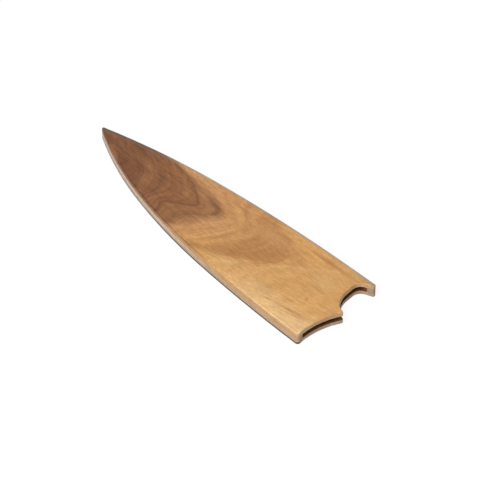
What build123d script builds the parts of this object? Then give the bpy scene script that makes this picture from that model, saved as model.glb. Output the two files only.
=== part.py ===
from build123d import *
import math
import os

os.makedirs("parts", exist_ok=True)

# A flat wooden guard that slides over the blade of a large kitchen knife.
# Two face panels are glued to two thin rails, which leave a slot between the panels for the blade.
# It is drawn with X = 0 at the end of the horn, Y = 0 along the straight spine and Z = 0 underneath.
# X points out of the mouth, Y points to the spine side, and the last step moves the origin.

# Plan of the guard
GUARD_LENGTH = 224.6
MOUTH_WIDTH = 64.4
TIP_DROP = 22.8
EDGE_TAPER = 0.8

# Stations on the way from the mouth to the tip: shares of the length, and of each side's drop or rise
SPINE_SHARES = [(0.094, 0.0), (0.604, 0.26)]
EDGE_SHARES = [(0.411, 0.122), (0.729, 0.426)]

# Layers, from the bottom panel up
PANEL_THICKNESS = 3.0
SLOT_HEIGHT = 3.0

# Rails: a slim strip along the knife's spine and a wider one along its cutting edge
SPINE_RAIL_WIDTH = 3.8
EDGE_RAIL_WIDTH = 4.3

# Mouth: a narrow horn on the spine side, a scallop, a cusp, and a shallow scallop down to the heel
HORN_WIDTH = 2.2
SCALLOP_DEPTH = 9.4
CUSP_REACH = 4.4
CUSP_OFFSET = 31.1
HEEL_REACH = 0.5
HEEL_SCALLOP_DEPTH = 2.9

# Corners of the deep scallop: shares of its depth and of the way from the spine to the cusp
SCALLOP_SHARES = [(1.0, 0.193), (0.78, 0.69), (0.165, 0.933)]

# Rounding
SCALLOP_ROOT_ROUND = 6.0
SCALLOP_BACK_ROUND = 20.0
SCALLOP_LIP_ROUND = 6.0
HORN_ROUND = 1.1
HEEL_ROUND = 2.0
POINT_ROUND = 1.0
ARRIS_ROUND = 0.8

# Disc magnets in blind pockets, in facing pairs down the middle of the slot
MAGNET_DIAMETER = 10.0
MAGNET_THICKNESS = 1.5
MAGNET_RECESS = 0.2
MAGNET_GLUE_GAP = 0.1
MAGNET_FIRST = 42.0
MAGNET_PITCH = 37.0
MAGNET_COUNT = 4

# How far a cutter or a blank runs past what it cuts
OVERRUN = 10.0

# Derived heights
SLOT_FLOOR = PANEL_THICKNESS
SLOT_ROOF = PANEL_THICKNESS + SLOT_HEIGHT
POCKET_DEPTH = MAGNET_THICKNESS + MAGNET_RECESS

# Derived places in the plan
TIP = Vector(-GUARD_LENGTH, -TIP_DROP)
HORN = Vector(0, 0)
HEEL = Vector(HEEL_REACH, -MOUTH_WIDTH)
CUSP = Vector(CUSP_REACH, -CUSP_OFFSET)
SPINE_HEADING = Vector(-1, 0)
EDGE_HEADING = Vector(-math.cos(math.radians(EDGE_TAPER)), math.sin(math.radians(EDGE_TAPER)))


def spine_side():
    """The spine from the horn to the tip: straight at first, then two arcs that bend down."""
    straight_share, no_drop_share = SPINE_SHARES[0]
    bend_share, drop_share = SPINE_SHARES[1]
    straight_end = Vector(-GUARD_LENGTH * straight_share, -TIP_DROP * no_drop_share)
    bend = Vector(-GUARD_LENGTH * bend_share, -TIP_DROP * drop_share)
    straight = Line(HORN, straight_end)
    first = TangentArc(straight_end, bend, tangent=SPINE_HEADING)
    second = TangentArc(bend, TIP, tangent=first % 1)
    return [straight, first, second]


def edge_side():
    """The edge side from the heel to the tip: three arcs, each tighter than the one before."""
    rise = MOUTH_WIDTH - TIP_DROP
    stations = [Vector(-GUARD_LENGTH * x, -MOUTH_WIDTH + rise * y) for x, y in EDGE_SHARES]
    arcs = []
    start, heading = HEEL, EDGE_HEADING
    for end in stations + [TIP]:
        arc = TangentArc(start, end, tangent=heading)
        arcs.append(arc)
        start, heading = end, arc % 1
    return arcs


def mouth_side():
    """The mouth from the horn to the heel: horn end, deep scallop, cusp and shallow scallop."""
    horn_inner = Vector(0, -HORN_WIDTH)
    corners = [Vector(-SCALLOP_DEPTH * x, -CUSP_OFFSET * y) for x, y in SCALLOP_SHARES]
    deep = FilletPolyline(
        HORN,
        horn_inner,
        *corners,
        CUSP,
        radius=[POINT_ROUND, SCALLOP_ROOT_ROUND, SCALLOP_BACK_ROUND, SCALLOP_LIP_ROUND],
    )
    inward = (HEEL - CUSP).normalized().rotate(Axis.Z, -90)
    middle = (HEEL + CUSP) / 2 + inward * HEEL_SCALLOP_DEPTH
    return [deep, ThreePointArc(CUSP, middle, HEEL)]


def round_corner(face, corner, radius):
    """The face with its corner nearest to a point rounded in plan."""
    return fillet(face.vertices().sort_by_distance(corner)[0], radius)


def guard_outline():
    """The plan of both panels, with its four outer corners rounded."""
    face = make_face(spine_side() + edge_side() + mouth_side())
    face = round_corner(face, HORN, HORN_ROUND)
    face = round_corner(face, HEEL, HEEL_ROUND)
    face = round_corner(face, CUSP, POINT_ROUND)
    return round_corner(face, TIP, POINT_ROUND)


def drawn_in(side, corner, heading, width, across):
    """The region inside one side, run out past the mouth and across the plan, less a rail's width."""
    mouth_out = corner - heading * (CUSP_REACH + width + OVERRUN)
    far = Vector(0, across * (MOUTH_WIDTH + width + OVERRUN))
    closing = Polyline(TIP, TIP + far, mouth_out + far, mouth_out, corner)
    return offset(make_face(side + [closing]), -width)


def slot_outline():
    """The plan of the slot, which runs out past the mouth."""
    below_spine = drawn_in(spine_side(), HORN, SPINE_HEADING, SPINE_RAIL_WIDTH, -1)
    above_edge = drawn_in(edge_side(), HEEL, EDGE_HEADING, EDGE_RAIL_WIDTH, 1)
    return below_spine & above_edge


def spine_half():
    """The region on the spine side of the mitre, which runs through both tips of the rails."""
    inner_tip = slot_outline().vertices().sort_by_distance(TIP)[0]
    mitre = (Vector(inner_tip) - TIP).normalized()
    back = TIP - mitre * OVERRUN
    front = TIP + mitre * (GUARD_LENGTH + MOUTH_WIDTH)
    up = Vector(0, GUARD_LENGTH + MOUTH_WIDTH)
    return make_face(Polyline(back, front, front + up, back + up, close=True))


def magnet_places():
    """Magnet centres, on the line from the middle of the mouth to the tip."""
    middle = Vector(0, -MOUTH_WIDTH / 2)
    slope = (TIP.Y - middle.Y) / (TIP.X - middle.X)
    runs = [MAGNET_FIRST + MAGNET_PITCH * i for i in range(MAGNET_COUNT)]
    return [Vector(-run, middle.Y - run * slope) for run in runs]


def disc(place, radius, low, high):
    """An upright disc over a place in the plan, from one height to another."""
    return Pos(place.X, place.Y, low) * extrude(Circle(radius), high - low)


def panel(outline, low, pocket_low, outer_face):
    """One face panel with its outer arris rounded and its magnet pockets sunk from the slot."""
    body = Pos(0, 0, low) * extrude(outline, PANEL_THICKNESS)
    body = fillet(body.faces().sort_by(Axis.Z)[outer_face].edges(), ARRIS_ROUND)
    radius = MAGNET_DIAMETER / 2 + MAGNET_GLUE_GAP
    for place in magnet_places():
        body -= disc(place, radius, pocket_low, pocket_low + POCKET_DEPTH)
    return body


def build_parts():
    """Every piece of the guard, by name."""
    outline = guard_outline()
    frame = outline - slot_outline()
    half = spine_half()
    parts = {
        "bottom_panel": panel(outline, 0, SLOT_FLOOR - POCKET_DEPTH, 0),
        "top_panel": panel(outline, SLOT_ROOF, SLOT_ROOF, -1),
        "spine_rail": Pos(0, 0, SLOT_FLOOR) * extrude(frame & half, SLOT_HEIGHT),
        "edge_rail": Pos(0, 0, SLOT_FLOOR) * extrude(frame - half, SLOT_HEIGHT),
    }
    bottom_low = SLOT_FLOOR - POCKET_DEPTH
    top_low = SLOT_ROOF + MAGNET_RECESS
    for number, place in enumerate(magnet_places(), start=1):
        radius = MAGNET_DIAMETER / 2
        parts[f"bottom_magnet_{number}"] = disc(place, radius, bottom_low, bottom_low + MAGNET_THICKNESS)
        parts[f"top_magnet_{number}"] = disc(place, radius, top_low, top_low + MAGNET_THICKNESS)
    return parts


# The origin goes to the middle of the guard's plan, on its underside
box = guard_outline().bounding_box()
to_origin = Pos(-box.center().X, -box.center().Y, 0)
parts = build_parts()
for name, solid in parts.items():
    export_step(to_origin * solid, f"parts/{name}.step")

shift = to_origin.position
print(f"horn corner at {shift.X:.3f} {shift.Y:.3f}, plan {box.size.X:.3f} by {box.size.Y:.3f}")
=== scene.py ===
"""Looks of a wooden knife blade guard: figured wood, nickel magnets, the glue round them and a plain stage.

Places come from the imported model, in metres. X points out of the mouth, Y to the spine side and Z up.
Sizes of grain and finish are written in millimetres.
"""

import math

import bmesh
import bpy
from bpy.props import FloatProperty, FloatVectorProperty, PointerProperty
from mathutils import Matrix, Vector


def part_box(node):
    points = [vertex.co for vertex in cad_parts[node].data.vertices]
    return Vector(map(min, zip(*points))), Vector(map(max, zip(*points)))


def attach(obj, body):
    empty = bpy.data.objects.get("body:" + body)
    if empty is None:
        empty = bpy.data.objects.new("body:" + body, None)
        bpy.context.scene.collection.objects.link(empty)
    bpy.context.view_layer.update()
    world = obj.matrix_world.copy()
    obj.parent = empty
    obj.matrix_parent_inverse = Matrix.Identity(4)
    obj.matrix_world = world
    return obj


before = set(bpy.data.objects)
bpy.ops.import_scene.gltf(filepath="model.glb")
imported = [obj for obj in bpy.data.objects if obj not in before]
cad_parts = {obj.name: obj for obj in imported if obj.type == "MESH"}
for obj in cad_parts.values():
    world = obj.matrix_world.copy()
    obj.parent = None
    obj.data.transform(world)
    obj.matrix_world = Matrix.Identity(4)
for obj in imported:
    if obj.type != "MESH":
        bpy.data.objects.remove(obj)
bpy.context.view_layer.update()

bl_info = {
    "name": "Knife Blade Guard",
    "version": (1, 0, 0),
    "blender": (4, 5, 0),
    "location": "View3D > Sidebar > Guard",
    "description": "Finishes a wooden knife blade guard and sets it on a plain stage",
    "category": "Object",
}

MM = 0.001
BODY = "root"

# Heights in the guard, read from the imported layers
SLOT_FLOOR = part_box("bottom_panel")[1].z
SLOT_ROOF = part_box("top_panel")[0].z
PANEL_TOP_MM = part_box("top_panel")[1].z / MM
MIDDLE_MM = PANEL_TOP_MM / 2
INNER_FACE_MM = (SLOT_ROOF - SLOT_FLOOR) / 2 / MM
ARRIS_MM = 0.8

# The board that both panels are sawn from, as ranges that the growth curves are drawn in
ACROSS_MM = (-34.0, 34.0)
ALONG_MM = (-130.0, 130.0)
SLOPE_STEP_MM = 0.5

# How far each growth line leans towards the tip for every millimetre down through the board
RING_LEAN = 0.9

# Waves in the growth lines, broad ones and then fine ones, as their size and how far they reach
WAVES_MM = ((9.0, 0.9), (2.5, 0.25))

# Length and width of the streaks that the grain draws a growth line out into, and of blotches in the wood
STREAK_MM = (11.0, 0.8)
BLOTCH_MM = (16.0, 6.0)

# Fine rings between two growth lines, how the wood ages beyond them, and how rings drift across
FINE_RINGS = 5.0
AGE_PER_MM = 0.02
DRIFT_PER_MM = 0.04

# Fine rings show in the heartwood, and faintly in the sapwood, more on its edge side than along the spine
RINGS_ALONG = (-10.0, -40.0)
RINGS_ACROSS = (14.0, 4.0)
RINGS_IN_SAPWOOD = (0.2, 0.5)

# Where the top face grows palest, on the way across to the heel corner and along to the mouth
PALE_ACROSS = (-10.0, -30.0)
PALE_ALONG = (10.0, 100.0)

# How far the fibres rise on the way to the mouth on the edge side, and where, along and across
FIBRE_RISE_MM = 10.0
RISE_ALONG = (35.0, 115.0)
RISE_ACROSS = (18.0, -8.0)

# Waves in the fibres, as their size and how far they reach
FIBRE_WAVE_MM = (18.0, 0.7)

# The heartwood's grain is coarser: where that changes, and how strongly grain shows before and after
COARSE_ALONG = (-30.0, 8.0)
COARSE_SHARES = (0.8, 0.46)

# How many times longer than wide a fleck is
FLECK_STRETCH = 1.8

# The most that a pore darkens the wood, and where its rim lies, in spacings of the pores. Real pores are
# too fine to show at the render's size, so these are drawn about twice as wide.
PORE_SHARE = 0.5
PORE_RIM = (0.1, 0.3)

# Nearly all of a noise lies between these two values
NOISE_SPREAD = (0.3, 0.7)

# Factors on red, green and blue in the darkest and the lightest places of each pattern
RING_TONES = ((0.8, 0.79, 0.75), (1.2, 1.21, 1.24))
BLOTCH_TONES = ((0.97, 0.98, 1.02), (1.03, 1.02, 0.98))
FIBRE_TONES = ((0.75, 0.72, 0.67), (1.25, 1.27, 1.29))
BUNDLE_TONES = ((0.94, 0.93, 0.9), (1.06, 1.07, 1.1))
MOTTLE_TONES = ((0.91, 0.9, 0.88), (1.09, 1.1, 1.12))

# Oil and fine sanding leave a low sheen, lower than a coat of oil would, and a fibre that can just be felt
WOOD_ROUGHNESS = (0.42, 0.6)
WOOD_IOR = 1.3
FIBRE_RELIEF = 0.06 * MM
FIBRE_RELIEF_STRENGTH = 0.25

# The panels' sides: the share of their sanded colour, and where the faces' colour takes over, as distances
# from the middle of the thickness. The sanded colour is fainter on the heartwood, and the upper side shows
# end grain as it turns to face out of the mouth, lightened there with painted light.
SIDE_SHARE = 0.85
SIDE_ENDS_MM = (MIDDLE_MM - 1.6 * ARRIS_MM, MIDDLE_MM - 0.1 * ARRIS_MM)
SIDE_ALONG = (-40.0, 25.0)
SIDE_IN_HEARTWOOD = 0.15
MOUTH_FACING = (0.15, 0.6)

# The spine side of the top face, as (along, across) points, along which a grey of painted shade is laid
SPINE_LINE = [
    (-112, 10.2), (-100, 13.3), (-85, 16.8), (-65, 20.8), (-50, 23.2), (-35, 25.2), (-20, 26.9),
    (-5, 28.2), (10, 29.4), (30, 30.6), (50, 31.5), (70, 32.0), (90, 32.2), (110, 32.2),
]

# How far that painted shade reaches in from the spine, on the sapwood and at the tip, how dense it is, where
# the sapwood starts there, and where and by how much the grey widens on the horn
SPINE_SHADE_MM = 3.2
SPINE_SHADE_TIP_MM = 5.2
SPINE_SHADE_SHARE = 0.8
SAPWOOD_ALONG = (-70.0, -52.0)
HORN_ALONG = (90.0, 106.0)
HORN_SHARE = 0.3

# It fades on walls: how far up a surface faces where it is whole, and the share that walls keep
UP_FACING = (0.1, 0.5)
WALL_SHARE = 0.5

# Factors of painted shade on the edge side's arris, how far a surface faces that side for it,
# where it comes in on the way to the tip, and where it fades at the tip itself
EDGE_ARRIS_SHADE = (0.48, 0.46, 0.44)
EDGE_FACING = (-0.1, -0.4)
EDGE_SHADE_ALONG = (60.0, -10.0)
EDGE_SHADE_AT_TIP = (-85.0, -55.0)
EDGE_SHADE_TIP_SHARE = 0.5

# Painted shade darkens the bottom arris where it meets the table, up to a height above the underside, and
# more towards the mouth. The dark line ends short of the scallops, except close to the edge. The underside is
# left without it.
BOTTOM_SHADE_HEIGHTS_MM = (2.9 * ARRIS_MM, 1.9 * ARRIS_MM)
BOTTOM_SHADE_ALONG = (-90.0, -10.0)
BOTTOM_SHADE_SHARE = 0.97
BOTTOM_SHADE_ACROSS = (-28.0, -31.0)
BOTTOM_SHADE_BEFORE_MOUTH = (100.0, 95.0)
UNDERSIDE_MM = 0.01

# Where the slot's painted shade ends, just past its floor and roof, from the middle as well
SLOT_ENDS_MM = (INNER_FACE_MM + 0.05, INNER_FACE_MM + 0.15)

# The rails: where the greyer wood at the tip gives way, where end grain starts at the mouth, and how
# squarely a side faces the slot where it takes the slot's painted shade
RAIL_ALONG = (-20.0, 40.0)
RAIL_END_ALONG = (98.0, 108.0)
RAIL_FACING = (0.955, 0.98)

# Smudges on nickel and dust on epoxy, as patches in a millimetre, and the roughness of clean and dull places
SMUDGES_PER_MM = 0.6
DUST_PER_MM = 1.2
NICKEL_ROUGHNESS = (0.18, 0.36)
EPOXY_ROUGHNESS = (0.12, 0.35)
EPOXY_IOR = 1.55

# Steps round a bead of glue and round its section
BEAD_STEPS = 64
BEAD_SECTION_STEPS = 12

# The floor lies a hair below the guard, so that the two surfaces never share a plane
FLOOR_SIZE = 8.0
FLOOR_GAP = 0.05 * MM

# The card's colour as light and as the camera sees it, and how much of what the camera sees glows
FLOOR_GREY = "#ABABAB"
FLOOR_WHITE = "#F4F4F4"
FLOOR_GLOW = 1.05
FLOOR_GLOW_SHARE = 0.85
WHITE = (1.0, 1.0, 1.0, 1.0)

# The lamp's side and place in metres and its power in watts, and the surround's strength as light
LAMP_SIZE = 1.6
LAMP_PLACE = (0.2, -1.15, 1.2)
LAMP_POWER = 31.2
SURROUND_LIGHT = 0.35

# The camera's sensor in millimetres, and how far it sees in metres
SENSOR_WIDTH = 36.0
CLIP_END = 20.0

# Growth lines of the top face, from the tip to the mouth, each as (across, along) points in millimetres.
# "after" and "soft" are the colour on the mouth side and half the width of the change to it.
# "feather" is how far the grain draws the line out into streaks.
# "line" is the colour, share and half width of the line itself, where it shows.
GROWTH_LINES = [
    {
        "points": [
            (14, -122), (6, -104), (3.4, -88), (2.2, -74), (0, -68), (-4, -64), (-8, -60.5), (-12, -57),
        ],
        "after": "heartwood", "soft": 8.0, "feather": 2.5, "line": ("latewood", 0.47, 1.2),
    },
    {
        "points": [
            (15, -88), (12.5, -76), (10, -66), (7, -58), (4.5, -53), (1, -49), (-3, -46.8), (-14, -46.5),
        ],
        "after": "heartwood", "soft": 3.0, "feather": 1.5, "line": ("latewood", 0.42, 1.2),
    },
    {
        "points": [
            (21.5, -62), (18.3, -50), (15.5, -38), (10.5, -28), (5, -19), (3, -17.5),
            (1, -18), (-4, -25), (-9.5, -33), (-12, -34), (-18, -31),
        ],
        "after": "pale_heartwood", "soft": 2.5, "feather": 0.8, "line": ("latewood", 0.62, 1.1),
    },
    {
        "points": [
            (22, -62), (18.5, -42), (16, -27), (12.5, -14), (9, -7), (6, -4.5), (2, -5.5),
            (-1, -8), (-4, -11.5), (-8, -15.5), (-12, -18.5), (-15, -19.5), (-20, -18),
        ],
        "after": "pale_heartwood", "soft": 3.0, "feather": 2.5, "line": ("latewood", 0.36, 1.8),
    },
    {
        "points": [
            (22, -60), (19.5, -49), (17.5, -38), (16, -28), (14.8, -19), (13, -9), (11, -2.5),
            (8, 0.5), (5, 1), (2, -1), (-2, -4.5), (-6, -8.5), (-10, -11.5), (-14, -11.5),
            (-18, -12), (-22, -15), (-28, -20),
        ],
        "after": "young_sapwood", "soft": 4.0, "feather": 5.0,
    },
    {
        "points": [(19, -8), (17, 3), (13, 8), (8, 10.5), (3, 10), (-3, 7), (-8, 3.5), (-14, -1), (-20, -6)],
        "after": "young_sapwood", "soft": 3.0, "feather": 3.0, "line": ("brown_sapwood", 0.5, 1.2),
    },
    {
        "points": [(18, 4), (14, 11), (10, 14), (5, 15), (0, 14), (-6, 11.5), (-12, 8.5), (-18, 5), (-22, 2)],
        "after": "young_sapwood", "soft": 3.0, "feather": 3.0, "line": ("sapwood", 0.85, 1.6),
    },
    {
        "points": [(20, 8), (14, 17), (8, 19), (3, 18), (-3, 16), (-10, 12.5), (-16, 9), (-22, 4)],
        "after": "young_sapwood", "soft": 2.0, "feather": 3.0, "line": ("brown_sapwood", 0.7, 1.6),
    },
    {
        "points": [(20, 16), (12, 24), (5, 25), (0, 23), (-6, 19.5), (-12, 15), (-18, 10.5), (-22, 7)],
        "after": "brown_sapwood", "soft": 5.0, "feather": 4.0, "line": ("sapwood", 0.55, 1.8),
    },
    {
        "points": [
            (22, 36), (17, 42), (12, 45), (8, 45), (4, 44), (0, 41), (-7, 36),
            (-11, 31), (-14, 26), (-18, 19), (-22, 11), (-26, 3),
        ],
        "after": "brown_sapwood", "soft": 5.0, "feather": 8.0, "line": ("brown_sapwood", 0.3, 3.0),
    },
    {
        "points": [
            (27, 34), (22, 40), (18, 47), (12, 56), (6, 58), (0, 54), (-6, 49.5),
            (-12, 41), (-18, 29), (-24, 16), (-30, 6),
        ],
        "after": "sapwood", "soft": 4.2, "feather": 7.0,
    },
    {
        "points": [
            (24, 86), (18, 80), (12, 74), (9, 68), (6, 63), (2, 58), (-3, 54),
            (-8, 50), (-12, 45), (-16, 38), (-20, 33), (-24, 28),
        ],
        "after": "sapwood", "soft": 4.0, "feather": 4.0, "line": ("pale_sapwood", 0.2, 1.8),
    },
]

# Short marks in the top face: centre, half sizes, turn in degrees, colour and strength
MARKS = [
    ((-88, 11.5), (30, 8), 11, "latewood", 0.6),
    ((-108, 8), (7, 3), 8, "heartwood", 0.5),
    ((-47.5, 17.7), (10, 1.5), -8, "latewood", 0.55),
    ((-62, 3), (6, 4), 0, "pale_heartwood", 0.3),
    ((-58, -10), (5, 4), 0, "pale_heartwood", 0.35),
    ((-44, -14), (5, 4), 0, "latewood", 0.2),
    ((-33, -10), (7, 6), 0, "latewood", 0.15),
    ((-2.5, -4), (3, 7), -30, "latewood", 0.15),
    ((-8, -15.5), (7, 5), 0, "latewood", 0.15),
    ((7, -12.5), (4, 2.5), 30, "brown_sapwood", 0.4),
    ((-71, 2), (13, 4), -25, "latewood", 0.25),
    ((-88, -3), (14, 2.2), -27, "pale_heartwood", 0.9),
    ((-66, 7), (12, 3), -8, "pale_heartwood", 0.3),
    ((-57, -5), (8, 6), -60, "pale_heartwood", 0.6),
    ((-45, -8), (5, 11), 0, "latewood", 0.5),
    ((-30, 6), (13, 7), -25, "pale_heartwood", 1.0),
    ((-43, 13.5), (15, 4.5), -7, "pale_heartwood", 1.0),
    ((-85, 6.5), (14, 4), 10, "latewood", 0.5),
    ((-27, 5), (7, 5), 0, "young_sapwood", 0.14),
    ((-14, 14.5), (9, 2.5), -18, "latewood", 0.18),
    ((-31, 22.5), (12, 3.5), 8, "sapwood", 0.7),
    ((-25, -12), (7, 8), 0, "latewood", 0.2),
    ((-20, 10.5), (13, 3.5), -30, "young_sapwood", 0.3),
    ((-8, 10), (10, 4), -32, "latewood", 0.3),
    ((-8, 6), (5, 4), 0, "young_sapwood", 0.45),
    ((-8, 1.5), (4, 3.5), 0, "young_sapwood", 0.35),
    ((-12, -9), (15, 8), 0, "latewood", 0.15),
    ((-8.5, -11), (5, 9), -20, "pale_heartwood", 0.8),
    ((10, -1), (4, 5), 0, "sapwood", 0.4),
    ((14, -19), (8, 3.5), 40, "sapwood", 0.45),
    ((3, 9), (4, 4), 0, "brown_sapwood", 0.4),
    ((8, -17), (4, 6), -30, "sapwood", 0.4),
    ((19, 6), (7, 5), 0, "brown_sapwood", 0.5),
    ((26, 14), (20, 3), 0, "brown_sapwood", 0.55),
    ((24, 25), (9, 4), 0, "sapwood", 0.35),
    ((-2, 24), (10, 3), 3, "brown_sapwood", 0.4),
    ((20, 10), (13, 5), 0, "brown_sapwood", 0.4),
    ((0, 14), (10, 3), -20, "brown_sapwood", 0.5),
    ((38, 17), (28, 9), 0, "young_sapwood", 1.0),
    ((44, 1), (15, 5), 50, "latewood", 0.1),
    ((30, -12), (16, 4), 32, "latewood", 0.12),
    ((10, -23), (7, 3), 15, "latewood", 0.2),
    ((33, -20), (9, 2.6), 30, "pale_sapwood", 0.5),
    ((49, 18.2), (13, 2.6), -3, "brown_sapwood", 0.6),
    ((44, 22.3), (13, 1.6), -2, "brown_sapwood", 0.7),
    ((56, 14.3), (16, 2.2), -2, "brown_sapwood", 0.7),
    ((62, 16.5), (16, 1.6), 0, "brown_sapwood", 0.6),
    ((60, 11.5), (15, 1.9), 0, "brown_sapwood", 0.6),
    ((58, 20.5), (14, 1.8), 0, "brown_sapwood", 0.45),
    ((65, 13.8), (11, 1.2), 0, "brown_sapwood", 0.5),
    ((61, 4), (11, 1.8), 46, "pale_sapwood", 0.5),
    ((41, 21.4), (9, 1.5), 0, "latewood", 0.2),
    ((27, 24.5), (10, 1.6), -3, "latewood", 0.1),
    ((64, 7), (10, 7), 0, "brown_sapwood", 0.55),
    ((48, -12), (11, 7), 0, "young_sapwood", 0.75),
    ((54, 0), (17, 4), 50, "brown_sapwood", 0.4),
    ((47, -23), (5, 9), 0, "young_sapwood", 0.25),
    ((3, 20.6), (11, 1.5), -2, "latewood", 0.3),
    ((88, 4), (11, 2.2), 0, "brown_sapwood", 0.6),
    ((84, -15.5), (6, 1.5), 3, "brown_sapwood", 0.7),
    ((90.5, -7), (2, 1.4), 0, "brown_sapwood", 1.0),
    ((92, -21), (20, 1.8), 9, "brown_sapwood", 0.8),
    ((103, -12.5), (7, 1.2), 35, "brown_sapwood", 0.5),
    ((75, -23.5), (5, 1.2), 22, "brown_sapwood", 0.7),
    ((79, -25), (8, 2.4), 26, "pale_sapwood", 0.5),
    ((88, -26), (9, 3), 10, "sapwood", 0.4),
    ((96, -22.5), (9, 1.8), 8, "brown_sapwood", 0.5),
    ((66, -21), (8, 6), 0, "pale_sapwood", 0.3),
    ((87, 10), (13, 10), 0, "pale_sapwood", 0.35),
    ((103, 5), (6, 6), 0, "brown_sapwood", 0.3),
    ((105, -13), (4, 5), 0, "pale_sapwood", 0.4),
    ((102.5, 27.5), (4, 3), 0, "brown_sapwood", 0.7),
    ((79, 25.3), (30, 2.2), 0, "brown_sapwood", 1.0),
    ((73, 25.2), (14, 1.4), 0, "brown_sapwood", 0.8),
    ((38, 28.5), (13, 4.5), 3, "sapwood", 1.0),
]


def linear(code):
    """An sRGB hex colour as scene-linear red, green, blue and alpha."""
    shares = [int(code[i : i + 2], 16) / 255 for i in (1, 3, 5)]
    return (*[s / 12.92 if s <= 0.04045 else ((s + 0.055) / 1.055) ** 2.4 for s in shares], 1.0)


def add(tree, kind, feeds, **settings):
    """Adds a node with its settings.

    Feeds gives its inputs, by identifier or number, a value, a socket, or a node for its first output.
    """
    node = tree.nodes.new(kind)
    for name, value in settings.items():
        setattr(node, name, value)
    sockets = {socket.identifier: socket for socket in node.inputs}
    sockets.update(enumerate(node.inputs))
    for key, feed in feeds.items():
        if isinstance(feed, bpy.types.Node):
            feed = feed.outputs[0]
        if isinstance(feed, bpy.types.NodeSocket):
            tree.links.new(feed, sockets[key])
        else:
            sockets[key].default_value = feed
    return node


# What every colour setting has beside its name, description and default
COLOUR = {"size": 4, "subtype": "COLOR"}


class GuardWood(bpy.types.PropertyGroup):
    """Colours and grain of the panels and rails"""

    sapwood: FloatVectorProperty(
        name="Sapwood", description="Oiled sapwood towards the mouth", default=linear("#D19E62"), **COLOUR
    )
    pale_sapwood: FloatVectorProperty(
        name="Pale sapwood", description="Outermost wood, at the heel corner",
        default=linear("#E3BB86"), **COLOUR,
    )
    young_sapwood: FloatVectorProperty(
        name="Young sapwood", description="Sapwood next to the heartwood",
        default=linear("#C79260"), **COLOUR,
    )
    brown_sapwood: FloatVectorProperty(
        name="Brown sapwood", description="Darker band in the sapwood", default=linear("#B7824E"), **COLOUR
    )
    pale_heartwood: FloatVectorProperty(
        name="Pale heartwood", description="Outer heartwood", default=linear("#966741"), **COLOUR
    )
    heartwood: FloatVectorProperty(
        name="Heartwood", description="Heartwood in the tongue", default=linear("#8A5B3A"), **COLOUR
    )
    dark_heartwood: FloatVectorProperty(
        name="Dark heartwood", description="Oldest heartwood, at the tip",
        default=linear("#774B2F"), **COLOUR,
    )
    latewood: FloatVectorProperty(
        name="Latewood", description="Dark growth lines", default=linear("#65402A"), **COLOUR
    )
    pore: FloatVectorProperty(
        name="Pore", description="Open pores, with dark dust in them", default=linear("#3C2415"), **COLOUR
    )
    cut_edge: FloatVectorProperty(
        name="Cut edge", description="Sanded side of the panels, which takes less oil",
        default=linear("#C59B72"), **COLOUR,
    )
    low_cut_edge: FloatVectorProperty(
        name="Low cut edge", description="Sanded side of the lower panel, greyer and drier",
        default=linear("#B9A696"), **COLOUR,
    )
    # Painted light: the ends at the mouth are paler than the sides
    lit_end_grain: FloatVectorProperty(
        name="End grain", description="Sanded ends of the panels at the mouth, with painted light",
        default=linear("#D2B08F"), **COLOUR,
    )
    # Painted shade along the spine: grey on the sapwood, darker on the heartwood
    shaded_spine_edge: FloatVectorProperty(
        name="Shaded spine edge", description="Painted shade along the spine, on the sapwood",
        default=linear("#A09684"), **COLOUR,
    )
    shaded_spine_tip: FloatVectorProperty(
        name="Shaded spine tip", description="Painted shade along the spine, on the heartwood",
        default=linear("#665C50"), **COLOUR,
    )
    # Painted shade on the bottom arris, where it meets the table
    shaded_bottom_arris: FloatVectorProperty(
        name="Shaded bottom arris", description="Painted shade on the bottom arris, where it meets the table",
        default=linear("#54463A"), **COLOUR,
    )
    # Painted shade inside the slot
    shaded_slot_wood: FloatVectorProperty(
        name="Slot wood", description="Painted shade on the wood inside the slot", default=linear("#6E4524"), **COLOUR
    )
    rail: FloatVectorProperty(
        name="Rail", description="Pale wood of the rails", default=linear("#C49E75"), **COLOUR
    )
    rail_end: FloatVectorProperty(
        name="Rail end", description="End grain of the spine rail at the mouth",
        default=linear("#A8957F"), **COLOUR,
    )
    rail_tip: FloatVectorProperty(
        name="Rail towards the tip", description="Greyer wood of the rails at the tip",
        default=linear("#CCB29B"), **COLOUR,
    )
    fibre_length: FloatProperty(
        name="Fibre length", description="Length of a streak of grain", default=12 * MM, unit="LENGTH"
    )
    fibre_width: FloatProperty(
        name="Fibre width", description="Width of a streak of grain", default=0.9 * MM, unit="LENGTH"
    )
    bundle_length: FloatProperty(
        name="Bundle length", description="Length of a darker or lighter bundle of fibres",
        default=30 * MM, unit="LENGTH",
    )
    bundle_width: FloatProperty(
        name="Bundle width", description="Width of a bundle of fibres", default=2.5 * MM, unit="LENGTH"
    )
    mottle_size: FloatProperty(
        name="Mottle size", description="Size of the light and dark flecks across the grain",
        default=1.4 * MM, unit="LENGTH",
    )
    pore_length: FloatProperty(
        name="Pore length", description="Length of an open pore", default=6 * MM, unit="LENGTH"
    )
    pore_width: FloatProperty(
        name="Pore width", description="Spacing of the pores across the grain",
        default=1.1 * MM, unit="LENGTH",
    )


class GuardMagnets(bpy.types.PropertyGroup):
    """Looks of the magnets and of the glue round them"""

    nickel: FloatVectorProperty(
        name="Nickel", description="Nickel plate on the magnets", default=linear("#C9C3B8"), **COLOUR
    )
    glue: FloatVectorProperty(
        name="Glue", description="Hardened epoxy round the magnets", default=linear("#C8A04A"), **COLOUR
    )
    bead_radius: FloatProperty(
        name="Bead radius", description="Radius of the bead of glue round a magnet",
        default=0.09 * MM, unit="LENGTH",
    )


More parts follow.
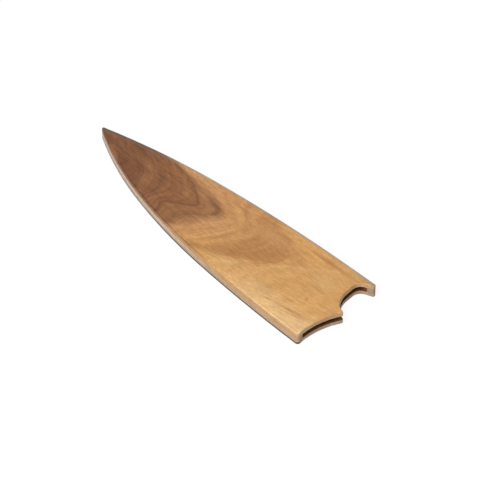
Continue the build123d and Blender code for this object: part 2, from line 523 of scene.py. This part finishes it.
class GuardCamera(bpy.types.PropertyGroup):
    """Where the camera stands"""

    elevation: FloatProperty(
        name="Elevation", description="Angle above the floor", default=math.radians(41), subtype="ANGLE"
    )
    azimuth: FloatProperty(
        name="Azimuth", description="Turn about the upright axis, from looking along +Y",
        default=math.radians(47.52), subtype="ANGLE",
    )
    distance: FloatProperty(
        name="Distance", description="From the aim to the camera", default=2.0, unit="LENGTH"
    )
    lens: FloatProperty(
        name="Focal length", description="Focal length on a 36 mm sensor", default=246.7, unit="CAMERA"
    )
    aim: FloatVectorProperty(
        name="Aim", description="Point in the middle of the picture",
        default=(17.23 * MM, 6.65 * MM, 0.15 * MM), subtype="XYZ", unit="LENGTH",
    )


def empty_tree(owner):
    """The node tree of a new material or world, emptied."""
    owner.use_nodes = True
    owner.node_tree.nodes.clear()
    return owner.node_tree


def new_material(name):
    """A material, its node tree and its shader, linked to the output."""
    material = bpy.data.materials.new(name)
    tree = empty_tree(material)
    shader = add(tree, "ShaderNodeBsdfPrincipled", {})
    add(tree, "ShaderNodeOutputMaterial", {"Surface": shader})
    return material, tree, shader


def place_in_mm(tree):
    """The place in the board, in millimetres."""
    place = add(tree, "ShaderNodeTexCoord", {}).outputs["Object"]
    return add(tree, "ShaderNodeVectorMath", {0: place, "Scale": 1 / MM}, operation="SCALE")


def wavered(tree, place, feature_mm, reach_mm):
    """The place moved by a smooth noise, so that what is drawn from it wavers."""
    scaled = add(tree, "ShaderNodeVectorMath", {0: place, "Scale": 1 / feature_mm}, operation="SCALE")
    noise = add(tree, "ShaderNodeTexNoise", {"Vector": scaled, "Scale": 1.0, "Detail": 2.0})
    centred = add(
        tree, "ShaderNodeVectorMath", {0: noise.outputs["Color"], 1: (0.5, 0.5, 0.5)}, operation="SUBTRACT"
    )
    reach = add(tree, "ShaderNodeVectorMath", {0: centred, "Scale": 2 * reach_mm}, operation="SCALE")
    return add(tree, "ShaderNodeVectorMath", {0: place, 1: reach}, operation="ADD")


def stretched(length_mm, width_mm):
    """Scale of a pattern whose features have a length along the fibres and a width across them."""
    return 1 / length_mm, 1 / width_mm, 1 / width_mm


def stretched_noise(tree, place, size_mm, detail):
    """Noise drawn out along the fibres, as a share about one half."""
    scaled = add(tree, "ShaderNodeMapping", {"Vector": place, "Scale": stretched(*size_mm)})
    return add(tree, "ShaderNodeTexNoise", {"Vector": scaled, "Scale": 1.0, "Detail": detail})


def coated(tree, colour, coats, blend="MIX"):
    """The colour under its coats, each the share that it covers and its own colour, laid on in order."""
    for share, coat in coats:
        colour = add(
            tree,
            "ShaderNodeMix",
            {"Factor_Float": share, "A_Color": colour, "B_Color": coat},
            data_type="RGBA",
            blend_type=blend,
        ).outputs[2]
    return colour


def varied(tree, colour, noise, tones, strength=1.0):
    """The colour multiplied by one set of factors where the noise is low and by another where it is high."""
    start, end = NOISE_SPREAD
    share = add(tree, "ShaderNodeMapRange", {"Value": noise, "From Min": start, "From Max": end})
    dark, light = [(*tone, 1.0) for tone in tones]
    factor = coated(tree, dark, [(share, light)])
    return coated(tree, colour, [(strength, factor)], blend="MULTIPLY")


def in_all(tree, shares):
    """The share that holds where all the shares do: their product."""
    product, *others = shares
    for other in others:
        product = add(tree, "ShaderNodeMath", {0: product, 1: other}, operation="MULTIPLY")
    return product


def where_all(tree, changes, ease="LINEAR"):
    """The share where several changes have come in, each a value, its stretch and the share before it."""
    shares = []
    for value, (start, end), low in changes:
        feeds = {"Value": value, "From Min": start, "From Max": end, "To Min": low}
        shares.append(add(tree, "ShaderNodeMapRange", feeds, interpolation_type=ease))
    return in_all(tree, shares)


def drawn_curve(tree, value, points, reach, span):
    """The height of a smooth curve through points, at a value. Reach and span are the ranges of both axes."""
    share = add(tree, "ShaderNodeMapRange", {"Value": value, "From Min": reach[0], "From Max": reach[1]})
    curve = add(tree, "ShaderNodeFloatCurve", {"Value": share})
    drawn = curve.mapping.curves[0].points
    shares = []
    for u, v in sorted(points):
        shares.append(((u - reach[0]) / (reach[1] - reach[0]), (v - span[0]) / (span[1] - span[0])))
    shares = [(0.0, shares[0][1])] + shares + [(1.0, shares[-1][1])]
    while len(drawn) < len(shares):
        drawn.new(1.0, 1.0)
    for point, place in zip(drawn, shares):
        point.location = place
    curve.mapping.update()
    return add(tree, "ShaderNodeMapRange", {"Value": curve, "To Min": span[0], "To Max": span[1]})


def growth_distance(tree, along, across, points):
    """A growth line's place along the board, and the distance from it, positive on the mouth side."""
    here = drawn_curve(tree, across, points, ACROSS_MM, ALONG_MM)
    aside = add(tree, "ShaderNodeMath", {0: across, 1: SLOPE_STEP_MM}, operation="ADD")
    there = drawn_curve(tree, aside, points, ACROSS_MM, ALONG_MM)
    rise = add(tree, "ShaderNodeMath", {0: there, 1: here}, operation="SUBTRACT")
    slope = add(tree, "ShaderNodeMath", {0: rise, 1: SLOPE_STEP_MM}, operation="DIVIDE")
    squared = add(tree, "ShaderNodeMath", {0: slope, 1: slope, 2: 1.0}, operation="MULTIPLY_ADD")
    stretch = add(tree, "ShaderNodeMath", {0: squared}, operation="SQRT")
    offset = add(tree, "ShaderNodeMath", {0: along, 1: here}, operation="SUBTRACT")
    distance = add(tree, "ShaderNodeMath", {0: offset, 1: stretch}, operation="DIVIDE")
    return here, distance


def growth_coats(tree, wood, along, across, astray):
    """Coats for the growth bands and the lines between them, and each line's place along the board."""
    coats, lines = [], []
    for growth in GROWTH_LINES:
        reach = 2 * growth["feather"]
        drawn_out = add(tree, "ShaderNodeMath", {0: astray, 1: reach, 2: along}, operation="MULTIPLY_ADD")
        line, distance = growth_distance(tree, drawn_out, across, growth["points"])
        lines.append(line)
        feeds = {"Value": distance, "From Min": -growth["soft"], "From Max": growth["soft"]}
        after = add(tree, "ShaderNodeMapRange", feeds, interpolation_type="SMOOTHSTEP")
        coats.append((after, getattr(wood, growth["after"])))
        if "line" in growth:
            shade, strength, width = growth["line"]
            aside = add(tree, "ShaderNodeMath", {0: distance, 1: width}, operation="DIVIDE")
            squared = add(tree, "ShaderNodeMath", {0: aside, 1: aside}, operation="MULTIPLY")
            falloff = add(tree, "ShaderNodeMath", {0: math.e, 1: squared}, operation="POWER")
            share = add(tree, "ShaderNodeMath", {0: strength, 1: falloff}, operation="DIVIDE")
            coats.append((share, getattr(wood, shade)))
    return coats, lines


def mark_coats(tree, wood, place):
    """Coats for the short marks, each densest at its centre."""
    coats = []
    for (x, y), (half_length, half_width), turn, shade, strength in MARKS:
        moved = add(
            tree,
            "ShaderNodeMapping",
            {
                "Vector": place,
                "Location": (x, y, PANEL_TOP_MM),
                "Rotation": (0.0, 0.0, math.radians(turn)),
                "Scale": (half_length, half_width, half_width),
            },
            vector_type="TEXTURE",
        )
        spot = add(tree, "ShaderNodeTexGradient", {"Vector": moved}, gradient_type="SPHERICAL")
        share = add(tree, "ShaderNodeMath", {0: spot.outputs[1], 1: strength}, operation="MULTIPLY")
        coats.append((share, getattr(wood, shade)))
    return coats


def ring_age(tree, along, lines):
    """Age of the wood in growth lines: whole at each drawn line, with even shares between two lines."""
    age = add(tree, "ShaderNodeMath", {0: along, 1: AGE_PER_MM}, operation="MULTIPLY")
    for line, following in zip(lines, lines[1:]):
        share = add(tree, "ShaderNodeMapRange", {"Value": along, "From Min": line, "From Max": following})
        age = add(tree, "ShaderNodeMath", {0: age, 1: share}, operation="ADD")
    return age


def fine_rings(tree, along, across, lines):
    """Noise drawn out along the growth lines, and how strongly it shows at each place."""
    fine = add(tree, "ShaderNodeCombineXYZ", {0: ring_age(tree, along, lines), 1: across})
    scale = (FINE_RINGS, DRIFT_PER_MM, 1.0)
    scaled = add(tree, "ShaderNodeVectorMath", {0: fine, 1: scale}, operation="MULTIPLY")
    rings = add(tree, "ShaderNodeTexNoise", {"Vector": scaled, "Scale": 1.0, "Detail": 2.0})
    start, end = RINGS_ALONG
    in_heartwood = add(tree, "ShaderNodeMapRange", {"Value": along, "From Min": start, "From Max": end})
    start, end = RINGS_ACROSS
    low, high = RINGS_IN_SAPWOOD
    feeds = {"Value": across, "From Min": start, "From Max": end, "To Min": low, "To Max": high}
    in_sapwood = add(tree, "ShaderNodeMapRange", feeds)
    return rings, add(tree, "ShaderNodeMath", {0: in_heartwood, 1: in_sapwood}, operation="MAXIMUM")


def figured_colour(tree, wood, place):
    """Colour of the board's figure: nested growth bands from the heartwood at the tip to the sapwood."""
    waved = place
    for size, reach in WAVES_MM:
        waved = wavered(tree, waved, size, reach)
    spot = add(tree, "ShaderNodeSeparateXYZ", {0: waved})
    across = spot.outputs["Y"]
    depth = add(tree, "ShaderNodeMath", {0: PANEL_TOP_MM, 1: spot.outputs["Z"]}, operation="SUBTRACT")
    feeds = {0: depth, 1: RING_LEAN, 2: spot.outputs["X"]}
    along = add(tree, "ShaderNodeMath", feeds, operation="MULTIPLY_ADD")
    streaks = stretched_noise(tree, place, STREAK_MM, detail=3.0)
    astray = add(tree, "ShaderNodeMath", {0: streaks, 1: 0.5}, operation="SUBTRACT")
    coats, lines = growth_coats(tree, wood, along, across, astray)
    at_heel = where_all(tree, ((across, PALE_ACROSS, 0.0), (along, PALE_ALONG, 0.0)), "SMOOTHSTEP")
    coats.append((at_heel, wood.pale_sapwood))
    coats += mark_coats(tree, wood, place)
    colour = coated(tree, wood.dark_heartwood, coats)
    rings, seen = fine_rings(tree, along, across, lines)
    colour = varied(tree, colour, rings, RING_TONES, seen)
    return varied(tree, colour, stretched_noise(tree, place, BLOTCH_MM, detail=3.0), BLOTCH_TONES)


def risen(tree, place, spot):
    """The place that the fibres are drawn from, lowered where they rise, near the mouth on the edge side."""
    changes = ((spot.outputs["X"], RISE_ALONG, 0.0), (spot.outputs["Y"], RISE_ACROSS, 0.0))
    share = where_all(tree, changes, "SMOOTHSTEP")
    fall = add(tree, "ShaderNodeMath", {0: share, 1: -FIBRE_RISE_MM}, operation="MULTIPLY")
    lowered = add(tree, "ShaderNodeCombineXYZ", {1: fall})
    return add(tree, "ShaderNodeVectorMath", {0: place, 1: lowered}, operation="ADD")


def open_pores(tree, wood, place):
    """Short dark lines along the fibres, each with a depth of its own."""
    scale = stretched(wood.pore_length / MM, wood.pore_width / MM)
    scaled = add(tree, "ShaderNodeMapping", {"Vector": place, "Scale": scale})
    cells = add(tree, "ShaderNodeTexVoronoi", {"Vector": scaled, "Scale": 1.0})
    start, end = PORE_RIM
    away = cells.outputs["Distance"]
    feeds = {"Value": away, "From Min": start, "From Max": end, "To Min": 1.0, "To Max": 0.0}
    pores = add(tree, "ShaderNodeMapRange", feeds, interpolation_type="SMOOTHSTEP")
    depth = add(tree, "ShaderNodeSeparateColor", {0: cells.outputs["Color"]})
    return in_all(tree, (pores, depth))


def finish_wood(tree, shader, wood, place, colour):
    """Adds fibres and pores to a colour and gives them to the shader, with their sheen and bump."""
    spot = add(tree, "ShaderNodeSeparateXYZ", {0: place})
    start, end = COARSE_ALONG
    low, high = COARSE_SHARES
    feeds = {"Value": spot.outputs["X"], "From Min": start, "From Max": end, "To Min": low, "To Max": high}
    coarse = add(tree, "ShaderNodeMapRange", feeds)
    bent = wavered(tree, risen(tree, place, spot), *FIBRE_WAVE_MM)
    fibres = stretched_noise(tree, bent, (wood.fibre_length / MM, wood.fibre_width / MM), detail=4.0)
    colour = varied(tree, colour, fibres, FIBRE_TONES, coarse)
    bundles = stretched_noise(tree, bent, (wood.bundle_length / MM, wood.bundle_width / MM), detail=2.0)
    colour = varied(tree, colour, bundles, BUNDLE_TONES, coarse)
    fleck = wood.mottle_size / MM
    mottle = stretched_noise(tree, bent, (FLECK_STRETCH * fleck, fleck), detail=2.0)
    colour = varied(tree, colour, mottle, MOTTLE_TONES)
    pores = open_pores(tree, wood, bent)
    filled = in_all(tree, (pores, coarse, coarse, PORE_SHARE))
    colour = coated(tree, colour, [(filled, wood.pore)])
    tree.links.new(colour, shader.inputs["Base Color"])
    height = add(tree, "ShaderNodeMath", {0: fibres, 1: pores}, operation="SUBTRACT")
    feeds = {"Height": height, "Strength": FIBRE_RELIEF_STRENGTH, "Distance": FIBRE_RELIEF}
    tree.links.new(add(tree, "ShaderNodeBump", feeds).outputs[0], shader.inputs["Normal"])
    smooth, rough = WOOD_ROUGHNESS
    gloss = add(tree, "ShaderNodeMapRange", {"Value": fibres, "To Min": smooth, "To Max": rough})
    tree.links.new(gloss.outputs[0], shader.inputs["Roughness"])
    shader.inputs["IOR"].default_value = WOOD_IOR


def sanded_sides(tree, wood, figure, spot, facing):
    """Colour of the panels' sides: hazed by sanding, greyer below the slot, and paler with painted light
    where the upper side faces out of the mouth.
    """
    start, end = SIDE_ALONG
    feeds = {"Value": spot.outputs["X"], "From Min": start, "From Max": end, "To Min": SIDE_IN_HEARTWOOD}
    hazed = add(tree, "ShaderNodeMapRange", feeds)
    upper_side = coated(tree, figure, [(hazed, wood.cut_edge)])
    upper = add(tree, "ShaderNodeMath", {0: spot.outputs["Z"], 1: MIDDLE_MM}, operation="GREATER_THAN")
    start, end = MOUTH_FACING
    feeds = {"Value": facing.outputs["X"], "From Min": start, "From Max": end}
    at_mouth = add(tree, "ShaderNodeMapRange", feeds, interpolation_type="SMOOTHSTEP")
    # Painted light where the upper side faces out of the mouth
    upper_end = in_all(tree, (at_mouth, upper))
    coats = [(upper, upper_side), (upper_end, wood.lit_end_grain)]
    return coated(tree, wood.low_cut_edge, coats)


def shaded_edge_arris(tree, colour, spot, facing):
    """The colour, darkened by painted shade on the arris of the edge side, from the middle towards the tip.
    """
    x = spot.outputs["X"]
    changes = (
        (facing.outputs["Y"], EDGE_FACING, 0.0),
        (x, EDGE_SHADE_ALONG, 0.0),
        (x, EDGE_SHADE_AT_TIP, EDGE_SHADE_TIP_SHARE),
    )
    return coated(tree, colour, [(where_all(tree, changes), (*EDGE_ARRIS_SHADE, 1.0))], blend="MULTIPLY")


def spine_shade_coat(tree, wood, spot, facing):
    """A coat of painted shade along the spine, grey, wider and darker at the tip and the horn."""
    x = spot.outputs["X"]
    start, end = HORN_ALONG
    feeds = {"Value": x, "From Min": start, "From Max": end, "To Max": HORN_SHARE}
    on_horn = add(tree, "ShaderNodeMapRange", feeds)
    start, end = SAPWOOD_ALONG
    on_sapwood = add(tree, "ShaderNodeMapRange", {"Value": x, "From Min": start, "From Max": end})
    spine = drawn_curve(tree, x, SPINE_LINE, ALONG_MM, ACROSS_MM)
    inside = add(tree, "ShaderNodeMath", {0: spine, 1: spot.outputs["Y"]}, operation="SUBTRACT")
    nearer = add(tree, "ShaderNodeMath", {0: on_horn, 1: -SPINE_SHADE_MM, 2: inside}, operation="MULTIPLY_ADD")
    feeds = {0: on_sapwood, 1: SPINE_SHADE_MM - SPINE_SHADE_TIP_MM, 2: SPINE_SHADE_TIP_MM}
    reach = add(tree, "ShaderNodeMath", feeds, operation="MULTIPLY_ADD")
    feeds = {"Value": nearer, "From Min": reach, "From Max": 0.0, "To Max": SPINE_SHADE_SHARE}
    spine_shading = add(tree, "ShaderNodeMapRange", feeds, interpolation_type="SMOOTHSTEP")
    start, end = UP_FACING
    feeds = {"Value": facing.outputs["Z"], "From Min": start, "From Max": end, "To Min": WALL_SHARE}
    upwards = add(tree, "ShaderNodeMapRange", feeds)
    grey = coated(tree, wood.shaded_spine_tip, [(on_sapwood, wood.shaded_spine_edge), (on_horn, wood.shaded_spine_tip)])
    return in_all(tree, (spine_shading, upwards)), grey


def bottom_shade_coat(tree, wood, spot):
    """A coat of painted shade for the dark line along the bottom arris, where it meets the table."""
    x, y, z = (spot.outputs[axis] for axis in "XYZ")
    start, end = BOTTOM_SHADE_HEIGHTS_MM
    feeds = {"Value": z, "From Min": start, "From Max": end}
    low = add(tree, "ShaderNodeMapRange", feeds, interpolation_type="SMOOTHSTEP")
    above = add(tree, "ShaderNodeMath", {0: z, 1: UNDERSIDE_MM}, operation="GREATER_THAN")
    start, end = BOTTOM_SHADE_ACROSS
    along_edge = add(tree, "ShaderNodeMapRange", {"Value": y, "From Min": start, "From Max": end})
    start, end = BOTTOM_SHADE_BEFORE_MOUTH
    before_mouth = add(tree, "ShaderNodeMapRange", {"Value": x, "From Min": start, "From Max": end})
    long_side = add(tree, "ShaderNodeMath", {0: along_edge, 1: before_mouth}, operation="MAXIMUM")
    start, end = BOTTOM_SHADE_ALONG
    feeds = {"Value": x, "From Min": start, "From Max": end, "To Max": BOTTOM_SHADE_SHARE}
    past_tip = add(tree, "ShaderNodeMapRange", feeds)
    return in_all(tree, (low, above, long_side, past_tip)), wood.shaded_bottom_arris


def oiled_walnut(wood):
    """Walnut, resawn, fine sanded and oiled: pale sapwood, a tongue of heartwood, and a low soft sheen."""
    material, tree, shader = new_material("oiled_walnut")
    place = place_in_mm(tree)
    spot = add(tree, "ShaderNodeSeparateXYZ", {0: place})
    surface = add(tree, "ShaderNodeNewGeometry", {})
    facing = add(tree, "ShaderNodeSeparateXYZ", {0: surface.outputs["True Normal"]})
    from_middle = add(tree, "ShaderNodeMath", {0: spot.outputs["Z"], 1: MIDDLE_MM}, operation="SUBTRACT")
    away = add(tree, "ShaderNodeMath", {0: from_middle}, operation="ABSOLUTE")
    start, end = SIDE_ENDS_MM
    feeds = {"Value": away, "From Min": start, "From Max": end, "To Min": SIDE_SHARE, "To Max": 0.0}
    on_side = add(tree, "ShaderNodeMapRange", feeds, interpolation_type="SMOOTHSTEP")
    start, end = SLOT_ENDS_MM
    feeds = {"Value": away, "From Min": start, "From Max": end, "To Min": 1.0, "To Max": 0.0}
    in_slot_shade = add(tree, "ShaderNodeMapRange", feeds)
    figure = figured_colour(tree, wood, place)
    coats = [
        # Sanded sides, with painted light where they face out of the mouth
        (on_side, sanded_sides(tree, wood, figure, spot, facing)),
        # Painted shade along the spine, grey, wider at the tip and the horn
        spine_shade_coat(tree, wood, spot, facing),
        # Painted shade along the bottom arris
        bottom_shade_coat(tree, wood, spot),
        # Painted shade inside the slot
        (in_slot_shade, wood.shaded_slot_wood),
    ]
    # The edge side's arris is darkened with painted shade
    colour = coated(tree, shaded_edge_arris(tree, figure, spot, facing), coats)
    finish_wood(tree, shader, wood, place, colour)
    return material


def sanded_rail_wood(wood, side, inward, end_colour):
    """Pale straight-grained wood, sanded flush with the panels outside, with painted shade inside the slot.

    Inward is 1 or -1, the way along Y that the rail's inner side faces. The end colour is that at the mouth.
    """
    material, tree, shader = new_material(f"sanded_{side}_rail_wood")
    place = place_in_mm(tree)
    spot = add(tree, "ShaderNodeSeparateXYZ", {0: place})
    surface = add(tree, "ShaderNodeNewGeometry", {})
    facing = add(tree, "ShaderNodeSeparateXYZ", {0: surface.outputs["True Normal"]})
    inner = add(tree, "ShaderNodeMath", {0: facing.outputs["Y"], 1: inward}, operation="MULTIPLY")
    changes = (
        (spot.outputs["X"], RAIL_ALONG, wood.rail),
        (spot.outputs["X"], RAIL_END_ALONG, end_colour),
        # A side that faces into the slot takes the slot's painted shade
        (inner, RAIL_FACING, wood.shaded_slot_wood),
    )
    coats = []
    for value, (start, end), shade in changes:
        share = add(tree, "ShaderNodeMapRange", {"Value": value, "From Min": start, "From Max": end})
        coats.append((share, shade))
    finish_wood(tree, shader, wood, place, coated(tree, wood.rail_tip, coats))
    return material


def dull_in_patches(tree, shader, patches_per_mm, roughness):
    """Gives the shader a roughness that changes from clean places to dull ones."""
    clean, dull = roughness
    feeds = {"Vector": place_in_mm(tree), "Scale": patches_per_mm, "Detail": 3.0}
    patches = add(tree, "ShaderNodeTexNoise", feeds)
    gloss = add(tree, "ShaderNodeMapRange", {"Value": patches, "To Min": clean, "To Max": dull})
    tree.links.new(gloss.outputs[0], shader.inputs["Roughness"])


def nickel_plate(magnets):
    """Bright nickel plated on a sintered magnet, a little dulled by handling."""
    material, tree, shader = new_material("nickel_plate")
    shader.inputs["Base Color"].default_value = magnets.nickel
    shader.inputs["Metallic"].default_value = 1.0
    dull_in_patches(tree, shader, SMUDGES_PER_MM, NICKEL_ROUGHNESS)
    return material


def hardened_epoxy(magnets):
    """Amber epoxy, hardened with a smooth wet shine, duller where dust settled on it."""
    material, tree, shader = new_material("hardened_epoxy")
    shader.inputs["Base Color"].default_value = magnets.glue
    shader.inputs["IOR"].default_value = EPOXY_IOR
    dull_in_patches(tree, shader, DUST_PER_MM, EPOXY_ROUGHNESS)
    return material


class GUARD_OT_face_panels(bpy.types.Operator):
    """Give both face panels their figured, oiled walnut"""

    bl_idname = "guard.face_panels"
    bl_label = "Face Panels"

    def execute(self, context):
        material = oiled_walnut(context.scene.guard_wood)
        for name in ("top_panel", "bottom_panel"):
            dress(name, material)
        return {"FINISHED"}


class GUARD_OT_rails(bpy.types.Operator):
    """Give both rails their pale, sanded wood"""

    bl_idname = "guard.rails"
    bl_label = "Rails"

    def execute(self, context):
        wood = context.scene.guard_wood
        dress("spine_rail", sanded_rail_wood(wood, "spine", -1.0, wood.rail_end))
        dress("edge_rail", sanded_rail_wood(wood, "edge", 1.0, wood.rail))
        return {"FINISHED"}


class GUARD_OT_magnets(bpy.types.Operator):
    """Give the disc magnets their nickel plate"""

    bl_idname = "guard.magnets"
    bl_label = "Magnets"

    def execute(self, context):
        material = nickel_plate(context.scene.guard_magnets)
        for name in magnet_names():
            dress(name, material)
        return {"FINISHED"}


class GUARD_OT_magnet_glue(bpy.types.Operator):
    """Run a bead of glue round each magnet, where it meets its pocket"""

    bl_idname = "guard.magnet_glue"
    bl_label = "Magnet Glue"

    def execute(self, context):
        settings = context.scene.guard_magnets
        material = hardened_epoxy(settings)
        for name in magnet_names():
            add_bead(name.replace("magnet", "glue"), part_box(name), settings.bead_radius, material)
        return {"FINISHED"}


class GUARD_OT_stage(bpy.types.Operator):
    """Set up the floor, the lamp, the world and the camera"""

    bl_idname = "guard.stage"
    bl_label = "Stage"

    def execute(self, context):
        make_floor()
        make_lamp(context.scene)
        make_world(context.scene)
        make_camera(context.scene)
        context.scene.view_settings.view_transform = "Standard"
        return {"FINISHED"}


class GUARD_PT_sidebar(bpy.types.Panel):
    """Buttons for each piece of the guard, and its sizes and colours"""

    bl_label = "Knife Blade Guard"
    bl_space_type = "VIEW_3D"
    bl_region_type = "UI"
    bl_category = "Guard"

    def draw(self, context):
        for operator in OPERATORS:
            self.layout.operator(operator.bl_idname)
        for group in GROUPS:
            box = self.layout.box()
            settings = getattr(context.scene, group)
            for name in settings.__annotations__:
                box.prop(settings, name)


def dress(name, material):
    """Gives a CAD node a material of its own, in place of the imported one."""
    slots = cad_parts[name].data.materials
    slots.clear()
    slots.append(material)


def magnet_names():
    """The names of the CAD nodes that are magnets."""
    return [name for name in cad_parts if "_magnet_" in name]


def add_bead(name, box, radius, material):
    """A ring of glue round the edge of a magnet's face, the face that looks into the slot."""
    low, high = box
    centre = (low + high) / 2
    level = high.z if high.z < SLOT_FLOOR else low.z
    into_pocket = 1 if level > SLOT_FLOOR else -1
    bpy.ops.object.select_all(action="DESELECT")
    bpy.ops.mesh.primitive_torus_add(
        location=(centre.x, centre.y, level),
        major_radius=(high.x - low.x) / 2,
        minor_radius=radius,
        major_segments=BEAD_STEPS,
        minor_segments=BEAD_SECTION_STEPS,
    )
    bead = bpy.context.object
    bead.name = name
    bpy.ops.object.mode_set(mode="EDIT")
    bpy.ops.mesh.select_all(action="DESELECT")
    mesh = bmesh.from_edit_mesh(bead.data)
    for vertex in mesh.verts:
        vertex.select_set(vertex.co.z * into_pocket > radius / 2)
    mesh.select_flush_mode()
    bmesh.update_edit_mesh(bead.data)
    bpy.ops.transform.translate(value=(0.0, 0.0, into_pocket * radius))
    bpy.ops.object.mode_set(mode="OBJECT")
    bpy.ops.object.shade_smooth()
    bpy.ops.object.transform_apply(location=True, rotation=True, scale=True)
    bead.data.materials.append(material)
    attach(bead, BODY)


def seen_rays(tree):
    """One for rays that show a surface to the camera, straight, mirrored or through glass, and else zero."""
    rays = add(tree, "ShaderNodeLightPath", {})
    seen = rays.outputs["Is Camera Ray"]
    for kind in ("Is Glossy Ray", "Is Transmission Ray"):
        seen = add(tree, "ShaderNodeMath", {0: seen, 1: rays.outputs[kind]}, operation="MAXIMUM")
    return seen


def matt_white_card():
    """Matt white card, which is white to the camera and still shows the guard's shadow."""
    material = bpy.data.materials.new("matt_white_card")
    tree = empty_tree(material)
    seen = seen_rays(tree)
    paper = coated(tree, linear(FLOOR_GREY), [(seen, linear(FLOOR_WHITE))])
    card = add(tree, "ShaderNodeBsdfDiffuse", {"Color": paper})
    glow = add(tree, "ShaderNodeEmission", {"Color": WHITE, "Strength": FLOOR_GLOW})
    share = in_all(tree, (seen, FLOOR_GLOW_SHARE))
    mix = add(tree, "ShaderNodeMixShader", {"Fac": share, 1: card, 2: glow})
    add(tree, "ShaderNodeOutputMaterial", {"Surface": mix})
    return material


def make_floor():
    """A plain pale floor, wide enough to fill the picture from any side."""
    bpy.ops.object.select_all(action="DESELECT")
    bpy.ops.mesh.primitive_plane_add(size=FLOOR_SIZE, location=(0.0, 0.0, -FLOOR_GAP))
    bpy.ops.object.transform_apply(location=True, rotation=True, scale=True)
    floor = bpy.context.object
    floor.name = "floor"
    floor.data.materials.append(matt_white_card())


def make_lamp(scene):
    """One large soft lamp, above the guard and to its edge side."""
    light = bpy.data.lights.new("softbox", "AREA")
    light.shape = "SQUARE"
    light.size = LAMP_SIZE
    light.energy = LAMP_POWER
    lamp = bpy.data.objects.new("softbox", light)
    lamp.location = LAMP_PLACE
    lamp.rotation_euler = (-lamp.location).to_track_quat("-Z", "Y").to_euler()
    scene.collection.objects.link(lamp)


def make_world(scene):
    """A plain white surround, dimmer as light than as background."""
    scene.world = bpy.data.worlds.new("white_surround")
    tree = empty_tree(scene.world)
    feeds = {"Value": seen_rays(tree), "To Min": SURROUND_LIGHT, "To Max": 1.0}
    strength = add(tree, "ShaderNodeMapRange", feeds)
    back = add(tree, "ShaderNodeBackground", {"Color": WHITE, "Strength": strength})
    add(tree, "ShaderNodeOutputWorld", {"Surface": back})


def make_camera(scene):
    """The camera at the photograph's viewing angle."""
    settings = scene.guard_camera
    data = bpy.data.cameras.new("camera")
    data.lens = settings.lens
    data.sensor_width = SENSOR_WIDTH
    data.clip_end = CLIP_END
    camera = bpy.data.objects.new("camera", data)
    turn, rise = settings.azimuth, settings.elevation
    back = Vector((math.sin(turn) * math.cos(rise), -math.cos(turn) * math.cos(rise), math.sin(rise)))
    camera.location = Vector(settings.aim) + back * settings.distance
    camera.rotation_euler = (-back).to_track_quat("-Z", "Y").to_euler()
    scene.collection.objects.link(camera)
    scene.camera = camera


OPERATORS = (GUARD_OT_face_panels, GUARD_OT_rails, GUARD_OT_magnets, GUARD_OT_magnet_glue, GUARD_OT_stage)
GROUPS = {"guard_wood": GuardWood, "guard_magnets": GuardMagnets, "guard_camera": GuardCamera}


def register():
    for group in GROUPS.values():
        bpy.utils.register_class(group)
    for name, group in GROUPS.items():
        setattr(bpy.types.Scene, name, PointerProperty(type=group))
    for operator in OPERATORS:
        bpy.utils.register_class(operator)
    bpy.utils.register_class(GUARD_PT_sidebar)


def unregister():
    bpy.utils.unregister_class(GUARD_PT_sidebar)
    for operator in reversed(OPERATORS):
        bpy.utils.unregister_class(operator)
    for name, group in GROUPS.items():
        delattr(bpy.types.Scene, name)
        bpy.utils.unregister_class(group)


def main():
    """Registers the add-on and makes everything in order."""
    register()
    bpy.ops.guard.face_panels()
    bpy.ops.guard.rails()
    bpy.ops.guard.magnets()
    bpy.ops.guard.magnet_glue()
    bpy.ops.guard.stage()


if __name__ == "__main__":
    main()
